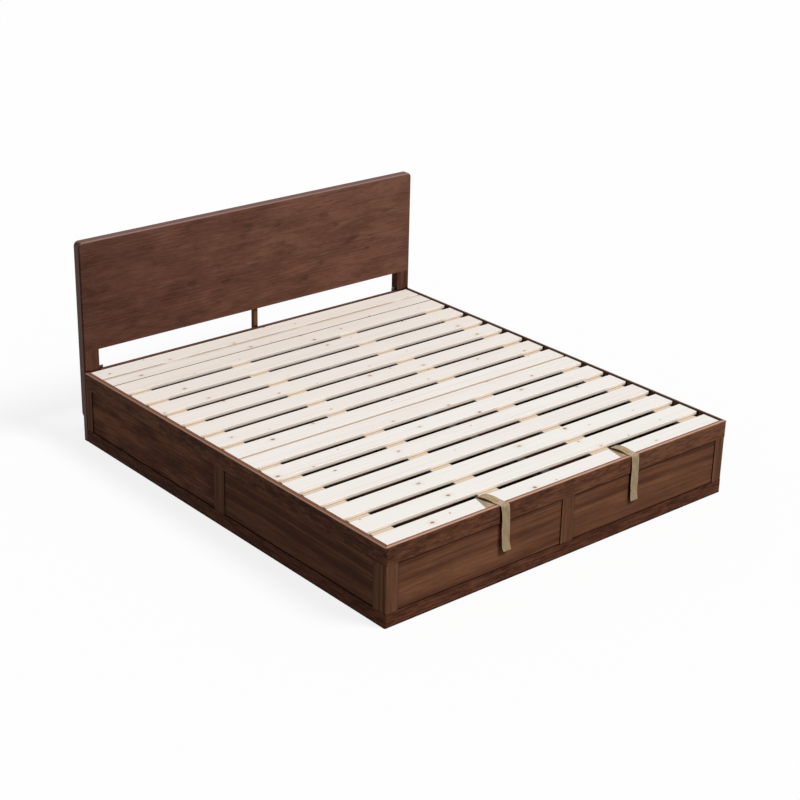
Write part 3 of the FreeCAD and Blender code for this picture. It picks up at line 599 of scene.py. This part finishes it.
powderLook = {
    "liftPowder": {"base": (46, 46, 48), "peel": 900.0, "rough": 0.42},
    "strutPaint": {"base": (34, 34, 37), "peel": 1600.0, "rough": 0.3},
    "pale": (2.2, 0.01),  # the worn tone: a gain on the base, and a lift
    "dustScale": (7.0, 7.0, 7.0),
    "dustRange": (0.4, 0.8),
    "dustShare": 0.35,
    "dustSheen": 0.18,
    "paleEdgeReach": (0.0012, 0.05, 0.4),
    "paleEdgeShare": 0.5,
    "bump": (0.2, 0.0003),
    "specular": 0.35,
}


def powderFinish(name):  # powder coat: fine orange peel, dust in the tone, paler arrises
    look, shared = powderLook[name], powderLook
    finish, tree, shade = newFinish(name)
    space = grainSpace(tree, "x", origin)
    skin = noiseOf(tree, space, (look["peel"],) * 3, 2.0)
    dust = noiseOf(tree, space, shared["dustScale"], 4.0, 0.6)
    base = tint(*look["base"])
    gain, lift = shared["pale"]
    pale = tuple(min(1.0, c * gain + lift) for c in base[:3]) + (1.0,)
    dusty = calc(tree, "MULTIPLY", spread(tree, dust, *shared["dustRange"]), shared["dustShare"])
    colour = blendTint(tree, dusty, base, pale)
    edgeMark = calc(tree, "MULTIPLY", edgeShare(tree, *shared["paleEdgeReach"]), shared["paleEdgeShare"])
    colour = blendTint(tree, edgeMark, colour, pale)
    sheen = calc(tree, "MULTIPLY_ADD", dust, shared["dustSheen"], look["rough"])
    feedNode(tree, shade, {"Base Color": colour, "Roughness": sheen, "Specular IOR Level": shared["specular"],
                           "Normal": bumpOf(tree, skin, *shared["bump"])})
    return finish


metalLook = {
    "rodChrome": {"base": (222, 224, 226), "grain": "x", "stretch": (900.0, 900.0, 900.0), "sheen": (0.1, 0.08)},
    "brightZinc": {"base": (196, 199, 202), "grain": "y", "stretch": (40.0, 900.0, 900.0), "sheen": (0.22, 0.28)},
    "duskZinc": {"base": (104, 103, 102), "grain": "y", "stretch": (40.0, 900.0, 900.0), "sheen": (0.22, 0.34)},
    "cloudScale": (60.0, 60.0, 60.0),
    "cloudRange": (0.3, 0.7),
    "dull": 0.78,
    "bump": (0.08, 0.0002),
}


def metalFinish(name):  # plated metal: fine drawn lines and cloudy plating
    look, shared = metalLook[name], metalLook
    finish, tree, shade = newFinish(name)
    space = grainSpace(tree, look["grain"], origin)
    lines = noiseOf(tree, space, look["stretch"], 2.0)
    cloud = noiseOf(tree, space, shared["cloudScale"], 3.0, 0.6)
    base = tint(*look["base"])
    dull = tuple(c * shared["dull"] for c in base[:3]) + (1.0,)
    colour = blendTint(tree, spread(tree, cloud, *shared["cloudRange"]), dull, base)
    sheen = calc(tree, "MULTIPLY_ADD", lines, *look["sheen"])
    feedNode(tree, shade, {"Base Color": colour, "Metallic": 1.0, "Roughness": sheen,
                           "Normal": bumpOf(tree, lines, *shared["bump"])})
    return finish


webbingLook = {
    "yarn": (186, 162, 126),
    "gap": (126, 104, 76),
    "fleck": (204, 184, 150),
    "warp": 0.0019,
    "weft": 0.0015,
    "selvedge": (0.0182, 0.0190),
    "rimHeight": 0.75,
    "ribRange": (0.1, 0.7),
    "fuzzScale": (2600.0, 2600.0, 0.0),
    "fuzzRange": (0.55, 0.8),
    "fuzzShare": 0.35,
    "fuzzRelief": 0.5,
    "washScale": (60.0, 22.0, 0.0),
    "washRange": (0.35, 0.75),
    "washShare": 0.5,
    "bump": (0.6, 0.0005),
}


def webbingFinish(name):  # plain weave on the strap's own map: x across, y along, both in metres
    look = webbingLook
    finish, tree, shade = newFinish(name)
    laid = addNode(tree, "UVMap", {}, uv_map="laidFlat").outputs[0]
    axes = addNode(tree, "SeparateXYZ", {0: laid}).outputs
    across = calc(tree, "MULTIPLY", axes[0], math.pi / look["warp"])
    along = calc(tree, "MULTIPLY", axes[1], math.pi / look["weft"])
    ribs = calc(tree, "ABSOLUTE", calc(tree, "MULTIPLY", calc(tree, "SINE", across), calc(tree, "SINE", along)))
    fuzz = noiseOf(tree, laid, look["fuzzScale"], 2.0)
    wash = noiseOf(tree, laid, look["washScale"], 3.0, 0.6)
    rim = spread(tree, calc(tree, "ABSOLUTE", axes[0]), *look["selvedge"])
    ribs = calc(tree, "MAXIMUM", ribs, calc(tree, "MULTIPLY", rim, look["rimHeight"]))
    colour = blendTint(tree, spread(tree, ribs, *look["ribRange"]), tint(*look["gap"]), tint(*look["yarn"]))
    for field, kind in ((wash, "wash"), (fuzz, "fuzz")):
        share = calc(tree, "MULTIPLY", spread(tree, field, *look[kind + "Range"]), look[kind + "Share"])
        colour = blendTint(tree, share, colour, tint(*look["fleck"]))
    height = calc(tree, "MULTIPLY_ADD", fuzz, look["fuzzRelief"], ribs)
    feedNode(tree, shade, {"Base Color": colour, "Roughness": 0.88, "Specular IOR Level": 0.1,
                           "Sheen Weight": 0.08, "Sheen Roughness": 0.5,
                           "Normal": bumpOf(tree, height, *look["bump"])})
    return finish


threadLook = {
    "dark": (186, 190, 200),
    "light": (236, 238, 243),
    "slant": (5200.0, 2600.0, 3900.0),
    "bump": (0.3, 0.0002),
}


def threadFinish(name):  # twisted thread: slanted lines on Object coordinates
    look = threadLook
    finish, tree, shade = newFinish(name)
    source = addNode(tree, "TexCoord", {}).outputs["Object"]
    twist = calc(tree, "ABSOLUTE", calc(tree, "SINE", vecCalc(tree, "DOT_PRODUCT", source, look["slant"])))
    colour = blendTint(tree, twist, tint(*look["dark"]), tint(*look["light"]))
    feedNode(tree, shade, {"Base Color": colour, "Roughness": 0.6, "Specular IOR Level": 0.2,
                           "Normal": bumpOf(tree, twist, *look["bump"])})
    return finish


def paint(name, finish):
    for slot in nodes[name].material_slots:
        slot.material = finish


walnutPieces = {
    "panel": {"x": ["foot_panel_left", "foot_panel_right"], "y": ["side_panel_left_front", "side_panel_right_front"]},
    "patchy": {"y": ["side_panel_left_rear", "side_panel_right_rear"]},
    "rail": {"x": ["foot_top_rail"], "y": ["side_top_rail_left", "side_top_rail_right"]},
    "plinth": {"x": ["foot_plinth"], "y": ["side_plinth_left", "side_plinth_right"]},
    "post": {"z": ["corner_post_left", "corner_post_right", "head_post_left", "head_post_right",
                   "side_mid_stile_left", "side_mid_stile_right", "foot_mid_stile", "headboard_center_post"]},
    "slab": {"x": ["headboard_panel"]},
    "leg": {"x": ["rear_board"], "z": ["headboard_leg_left", "headboard_leg_right"]},
}
walnutSeed, pineSeed = 2.37, 1.93  # steps from board to board
warmthRise, warmthSwing, warmthPace, bearerWarmth = 1.2, 0.08, 2.4, 0.4
seed = 0.0
for kind, byGrain in walnutPieces.items():
    for grain, names in byGrain.items():
        for name in names:
            seed += walnutSeed
            paint(name, walnutFinish(name, kind, grain, seed))

slats = ["deck_slat_%02d" % k for k in range(1, 15)] + ["head_slat_front", "head_slat_rear"]
for row, name in enumerate(slats):
    seed += pineSeed
    toneWarmth = (row / (len(slats) - 1)) ** warmthRise + warmthSwing * math.sin(row * warmthPace)  # warmer towards the head
    paint(name, pineFinish(name, "slat", "x", seed, toneWarmth))
bearers = (("front_stringers", "y"), ("rear_stringers", "y"), ("deck_ledgers", "y"), ("floor_battens", "x"))
for name, grain in bearers:
    seed += pineSeed
    paint(name, pineFinish(name, "bearer", grain, seed, bearerWarmth))

storageBoard = boardFinish("darkFacedBoard")
powder, strutPaint = powderFinish("liftPowder"), powderFinish("strutPaint")
chrome, zinc, duskSteel = metalFinish("rodChrome"), metalFinish("brightZinc"), metalFinish("duskZinc")
webbing = webbingFinish("khakiWebbing")
thread = threadFinish("paleThread")
for name in ("storage_floor", "center_divider"):
    paint(name, storageBoard)
for name in ("lift_angle_left", "lift_angle_right", "lift_center_bar", "lift_cross_bars"):
    paint(name, powder)
for side in ("left", "right"):
    paint("strut_cylinder_" + side, strutPaint)
    paint("strut_rod_" + side, chrome)
    paint("lift_base_plate_" + side, zinc)
paint("headboard_brackets", duskSteel)
print("finishes laid on", len(nodes), "nodes")


smoothAngle = math.radians(38)  # faces that meet at more than this stay sharp


def meshPiece(name, points, faces, finish, body, slotName, laid=None):
    mesh = bpy.data.meshes.new(name)
    mesh.from_pydata(points.tolist(), [], faces)
    work = bmesh.new()
    work.from_mesh(mesh)
    bmesh.ops.recalc_face_normals(work, faces=work.faces)
    work.to_mesh(mesh)
    work.free()
    if laid is not None:
        corner = np.zeros(len(mesh.loops), np.int32)
        mesh.loops.foreach_get("vertex_index", corner)
        mesh.uv_layers.new(name="laidFlat").data.foreach_set("uv", laid[corner].ravel().astype(np.float32))
    mesh.polygons.foreach_set("use_smooth", np.ones(len(mesh.polygons), bool))
    mesh.set_sharp_from_angle(angle=smoothAngle)
    mesh.materials.append(finish)
    piece = bpy.data.objects.new(name, mesh)
    scene.collection.objects.link(piece)
    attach(piece, body)
    return piece


def smoothRoute(stops, count):  # cubic through the stops: each span's ends lean along the chord of their neighbours
    p = np.asarray(stops, float)
    p = np.vstack([2 * p[0] - p[1], p, 2 * p[-1] - p[-2]])
    gap = np.linalg.norm(np.diff(p, axis=0), axis=1) ** 0.5
    knots = np.concatenate([[0.0], np.cumsum(gap)])
    lean = (p[2:] - p[:-2]) / (knots[2:] - knots[:-2])[:, None]
    fine = np.linspace(knots[1], knots[-2] - 1e-9, count * 6)
    span = np.clip(np.searchsorted(knots, fine, "right") - 1, 1, len(p) - 3)
    long = (knots[span + 1] - knots[span])[:, None]
    t = ((fine - knots[span])[:, None]) / long
    first, last = p[span], p[span + 1]
    out = ((2 * t ** 3 - 3 * t ** 2 + 1) * first + (t ** 3 - 2 * t ** 2 + t) * long * lean[span - 1]
           + (3 * t ** 2 - 2 * t ** 3) * last + (t ** 3 - t ** 2) * long * lean[span])
    step = np.concatenate([[0.0], np.cumsum(np.linalg.norm(np.diff(out, axis=0), axis=1))])
    even = np.linspace(0.0, step[-1], count)
    return np.stack([np.interp(even, step, out[:, k]) for k in range(3)], -1)


strapLook = {
    "width": 0.040,
    "thickness": 0.0016,
    "along": 170,
    "around": 56,
    "section": (0.35, 0.5),  # how square the section's sides and edges are
    "wave": 0.001,
    "waveRun": 61.0,
    "waveAcross": (95.0, 0.8),
    "squareEnd": 0.035,  # over this length the tail comes level
    "endReach": 0.02,  # the route is drawn on this far past its ends, and the ripple fades over it
    "routeSteps": 420,
    "tail": (230.0, 95.0),  # where the tail begins, and over what drop it takes up the lift
    "footFace": -1.04375,
    # stops in millimetres: x, y behind the foot face, z
    "over": [(-334, -11.5, 135), (-338.5, -9.8, 150), (-342, -8.6, 172), (-343.5, -8.0, 220), (-345, -7.6, 270),
             (-347.2, -7.2, 306), (-349, -6.4, 320), (-350, -4.6, 327.4), (-350.8, -1.4, 330.7), (-351.6, 3, 331.4),
             (-352.6, 7.5, 331.4), (-354.2, 14, 331.7),
             (-356.6, 22, 332.7), (-360, 34, 335.2), (-365, 52, 338.8), (-370, 72, 340.2), (-374, 92, 338.2),
             (-376, 104, 333.9), (-376.6, 109.8, 328.6), (-376.8, 111.5, 322), (-376.8, 111.3, 315.3)],
    "under": [(-376.8, 109.2, 315.3), (-376.8, 109.2, 321), (-377.2, 108.7, 326), (-378, 106.4, 328.8),
              (-379.5, 101, 329.3), (-385, 82, 329.2), (-391, 60, 329.2), (-396, 42, 329.2), (-399.6, 29.5, 329.2),
              (-400.7, 25.6, 328.8), (-401.2, 23.3, 326.6), (-401.4, 23.0, 322), (-401.6, 23.0, 315.3)],
    "left": {"centre": (-376.0, -376.0), "skewOver": 1.0, "skewUnder": 1.0, "tailLift": 0.0, "standOff": 1.0},
    "right": {"centre": (-376.0, 348.5), "skewOver": 0.58, "skewUnder": 0.78, "tailLift": -4.0, "standOff": 0.55},
    "stitchRows": (8.0, 12.5, 17.5, 23.0),  # millimetres behind the foot face
    "stitchLong": 0.0042,
    "stitchThick": 0.0007,
    "stitchPitch": 1.12,
    "stitchMargin": 0.005,
    "stitchSlim": (0.55, 0.45),  # the thread's thickness at its ends, and what the middle adds
    "stitchRise": (2.0, 0.7),  # the arch's height, and how far its ends sink
    "stitchAlong": 9,
    "stitchAround": 8,
    "railTop": 0.329,  # stitches lie above this
}


def strapStops(side, ply, skew):  # the drawn stops, moved to the strap's own place and skew
    own = strapLook[side]
    stops = np.array(strapLook[ply], float)
    stops[:, 0] = own["centre"][1] + (stops[:, 0] - own["centre"][0]) * own[skew]
    stops[:, 1] *= np.where(stops[:, 1] < 0.0, own["standOff"], 1.0)
    begin, drop = strapLook["tail"]
    tail = np.clip((begin - stops[:, 2]) / drop, 0.0, 1.0)
    stops[:, 2] += own["tailLift"] * tail
    stops /= 1000.0
    stops[:, 1] += strapLook["footFace"]
    return stops


def bandAlong(stops, phase):
    # A flat band laid on the wall that the route sweeps along x. At run s and width w it stands at the route's
    # place for s less w times the sine of the skew, and x is the route's x plus w times its cosine. The section is
    # a flattened ring with round edges, and its height lifts each point along the wall's normal.
    look = strapLook
    route = smoothRoute(stops, look["routeSteps"])
    lean = np.stack([route[0] - route[1], route[-1] - route[-2]])
    lean = lean / np.linalg.norm(lean, axis=1)[:, None] * look["endReach"]
    ends = np.vstack([route[0] + lean[0], route, route[-1] + lean[1]])
    run = np.concatenate([[0.0], np.cumsum(np.linalg.norm(np.diff(ends[:, 1:], axis=0), axis=1))])
    s = np.linspace(run[1], run[-2], look["along"])
    skew = np.arctan(np.interp(s, run, np.gradient(ends[:, 0], run)))
    turn = np.linspace(0.0, 2 * np.pi, look["around"], endpoint=False)
    flatness, edge = look["section"]
    w = look["width"] / 2 * np.sign(np.cos(turn)) * np.abs(np.cos(turn)) ** flatness
    h = look["thickness"] / 2 * np.sign(np.sin(turn)) * np.abs(np.sin(turn)) ** edge
    square = np.clip((s - s[0]) / look["squareEnd"], 0.0, 1.0)
    at = s[:, None] - w[None, :] * (np.sin(skew) * square)[:, None]
    x = np.interp(s, run, ends[:, 0])[:, None] + w[None, :] * np.cos(skew)[:, None]
    y = np.interp(at, run, ends[:, 1])
    z = np.interp(at, run, ends[:, 2])
    slopeY = np.interp(at, run, np.gradient(ends[:, 1], run))
    slopeZ = np.interp(at, run, np.gradient(ends[:, 2], run))
    size = np.hypot(slopeY, slopeZ)
    fade = np.clip(np.minimum(s - s[0], s[-1] - s) / look["endReach"], 0.0, 1.0)[:, None]
    pace, start = look["waveAcross"]
    sway = np.sin(s * look["waveRun"] + phase)[:, None] * np.sin(w[None, :] * pace + start)
    ripple = look["wave"] * phase * fade * sway
    lift = h[None, :] + ripple
    points = np.stack([x, y - slopeZ / size * lift, z + slopeY / size * lift], -1)
    laid = np.stack([np.broadcast_to(w, x.shape), np.broadcast_to(s[:, None], x.shape)], -1)
    rows, columns = x.shape
    faces = gridQuads(rows, columns, True).tolist()
    faces += [list(range(columns)), list(range((rows - 1) * columns, rows * columns))]
    return points.reshape(-1, 3), laid.reshape(-1, 2), faces, run[-2] - run[1], route


def stitchRun(route, behind):
    # Short stitches side by side across the strap: each is a low arch of thread, its height a half sine of its length,
    # with a round section.
    look = strapLook
    low = (route[:, 2] < look["railTop"]) * 9.0  # keeps the search off the hanging tail
    at = np.argmin(np.abs(route[:, 1] - (look["footFace"] + behind / 1000.0)) + low)
    middle, forward = route[at], route[at + 1] - route[at - 1]
    forward = forward / np.linalg.norm(forward)
    across = np.array([forward[1], -forward[0], 0.0])
    across = across / np.linalg.norm(across)
    up = np.cross(across, forward)
    up = up * np.sign(up[2])
    pitch = look["stitchLong"] * look["stitchPitch"]
    count = int((look["width"] - look["stitchMargin"]) / pitch)
    start = (np.arange(count) - (count - 1) / 2) * pitch
    rows, columns = look["stitchAlong"], look["stitchAround"]
    t = np.linspace(0.0, 1.0, rows)
    ring = np.linspace(0.0, 2 * np.pi, columns, endpoint=False)
    arch = np.sin(np.pi * t)
    slim, swell = look["stitchSlim"]
    high, sink = look["stitchRise"]
    thin = look["stitchThick"] * (slim + swell * arch)
    ride = start[:, None] + (t - 0.5) * look["stitchLong"]
    rise = look["thickness"] / 2 + look["stitchThick"] * (high * arch - sink)
    line = middle + ride[..., None] * across + rise[None, :, None] * up
    section = np.cos(ring)[None, :, None] * forward + np.sin(ring)[None, :, None] * up
    points = line[:, :, None, :] + thin[None, :, None, None] * section[None]
    first = (np.arange(count) * rows * columns)[:, None, None]
    shells = first + gridQuads(rows, columns, True)[None]
    caps = first + np.stack([np.arange(columns), np.arange(columns) + (rows - 1) * columns])[None]
    return points.reshape(-1, 3), shells.reshape(-1, 4).tolist() + caps.reshape(-1, columns).tolist()


def joinShells(shells):  # stacks (points, faces) shells into one mesh's arrays
    points, faces, start = [], [], 0
    for shellPoints, shellFaces in shells:
        faces += [[start + k for k in face] for face in shellFaces]
        points.append(shellPoints)
        start += len(shellPoints)
    return np.vstack(points), faces


def makeStrap(side):
    over = bandAlong(strapStops(side, "over", "skewOver"), 1.0)
    under = bandAlong(strapStops(side, "under", "skewUnder"), 0.0)
    points, faces = joinShells([(over[0], over[2]), (under[0], under[2])])
    laid = np.vstack([over[1], under[1] + (0.0, 1.0)])
    strap = meshPiece("pull_webbing_" + side, points, faces, webbing, "deck", "webbing", laid)
    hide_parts("pull_strap_" + side)
    rows = [stitchRun(over[4], behind) for behind in strapLook["stitchRows"]]
    points, faces = joinShells(rows)
    stitches = meshPiece("strap_stitches_" + side, points, faces, thread, "deck", "webbing")
    print("strap", side, "is", round((over[3] + under[3]) * 1000), "mm long")


for side in ("left", "right"):
    makeStrap(side)

# Turned profiles in millimetres: radius, height over the seat, share of the drive's shape (0 is round)
fastenerLook = {
    "washer": {"profile": [(11.2, 0.0, 0), (11.2, 1.1, 0), (10.9, 1.4, 0), (7.8, 1.4, 0)], "lobes": 6},
    "socketBolt": {"profile": [(7.2, 1.4, 0), (7.6, 1.8, 0), (7.6, 7.2, 0), (7.0, 7.9, 0), (4.1, 7.9, 0),
                               (3.5, 7.5, 1), (3.5, 3.6, 1)], "lobes": 6},
    "panScrew": {"profile": [(4.3, 0.0, 0), (4.3, 0.7, 0), (3.8, 1.6, 0), (2.9, 2.1, 0), (2.2, 2.25, 0.6),
                             (1.9, 2.1, 1), (1.2, 0.9, 1)], "lobes": 4},
    "pinClip": {"profile": [(4.3, 0.2, 0), (7.2, 0.2, 0), (7.4, 0.5, 0), (7.4, 0.9, 0), (7.1, 1.2, 0),
                            (4.9, 1.2, 0), (4.4, 1.7, 0), (4.1, 2.6, 0), (1.0, 2.8, 0)], "lobes": 6},
    "around": 48,
    "crossDrive": (0.36, 5),  # the arms' narrowest radius as a share, and how sharply they narrow
}


def turnedShells(kind, places, axes):
    # Each profile point runs round the axis. Its radius is its own times 1, or times the drive's shape: a hexagon's
    # cosine law for six lobes, and a cross of narrow arms for four.
    look = fastenerLook[kind]
    radius, height, drive = np.array(look["profile"], float).T
    phi = np.linspace(0.0, 2 * np.pi, fastenerLook["around"], endpoint=False)
    if look["lobes"] == 6:
        shape = math.cos(math.pi / 6) / np.cos((phi % (math.pi / 3)) - math.pi / 6)
    else:
        narrow, sharp = fastenerLook["crossDrive"]
        shape = narrow + (1 - narrow) * np.abs(np.cos(2 * phi)) ** sharp
    ring = radius[:, None] / 1000.0 * (1 + drive[:, None] * (shape[None, :] - 1))
    place, axis = np.asarray(places, float), np.asarray(axes, float)
    helper = np.where(np.abs(axis[:, 2:3]) > 0.9, [[1.0, 0.0, 0.0]], [[0.0, 0.0, 1.0]])
    first = np.cross(helper, axis)
    first /= np.linalg.norm(first, axis=1)[:, None]
    second = np.cross(axis, first)
    points = (place[:, None, None, :] + height[None, :, None, None] / 1000.0 * axis[:, None, None, :]
              + (ring * np.cos(phi))[None, :, :, None] * first[:, None, None, :]
              + (ring * np.sin(phi))[None, :, :, None] * second[:, None, None, :])
    rows, columns = ring.shape
    start = (np.arange(len(place)) * rows * columns)[:, None, None]
    quads = (start + gridQuads(rows, columns, True)[None]).reshape(-1, 4).tolist()
    ends = np.stack([np.arange(columns), np.arange(columns) + (rows - 1) * columns])
    return points.reshape(-1, 3), quads + (start + ends[None]).reshape(-1, columns).tolist()


def bothSides(places, axes):  # the left side's places and their mirror on the right
    flip = np.array([-1.0, 1.0, 1.0])
    place, axis = np.asarray(places, float), np.asarray(axes, float)
    return np.vstack([place, place * flip]), np.vstack([axis, axis * flip])


inward, rearward, downward = (1.0, 0.0, 0.0), (0.0, 1.0, 0.0), (0.0, 0.0, -1.0)
legSeats = bothSides([(-0.884, 1.03825, 0.17), (-0.884, 1.03825, 0.24)], [rearward] * 2)
boltShells = [turnedShells("washer", *legSeats), turnedShells("socketBolt", *legSeats)]
meshPiece("leg_bolts", *joinShells(boltShells), zinc, "frame", "zinc_steel")

plateSeats = [(-0.899, 0.54525, 0.2795), (-0.899, 0.58925, 0.2795),
              (-0.899, 0.42986, 0.0445), (-0.899, 0.49386, 0.0445)]
plateShells = turnedShells("panScrew", *bothSides(plateSeats, [inward] * 4))
meshPiece("plate_screws", *plateShells, zinc, "frame", "zinc_steel")

bracketSeats = [(-0.8365, 1.02125, 0.273), (-0.8365, 1.02125, 0.3098),
                (-0.847, 1.03175, 0.273), (-0.847, 1.03175, 0.3098)]
bracketAxes = [rearward, rearward, inward, inward]
bracketShells = turnedShells("panScrew", *bothSides(bracketSeats, bracketAxes))
meshPiece("bracket_screws", *bracketShells, duskSteel, "frame", "zinc_steel")

deckSeats = [(-0.86, y, 0.294) for y in (-0.83775, -0.29975, 0.07325, 0.62525)]
deckShells = turnedShells("panScrew", *bothSides(deckSeats, [downward] * 4))
meshPiece("deck_screws", *deckShells, zinc, "deck", "zinc_steel")

upperPin, lowerPin = (-0.866, 0.348674, 0.275823), (-0.866, 0.461860, 0.087450)
meshPiece("upper_pin_clips", *turnedShells("pinClip", *bothSides([upperPin], [inward])), zinc, "deck", "zinc_steel")
meshPiece("lower_pin_clips", *turnedShells("pinClip", *bothSides([lowerPin], [inward])), zinc, "frame", "zinc_steel")
print("straps and fasteners made")
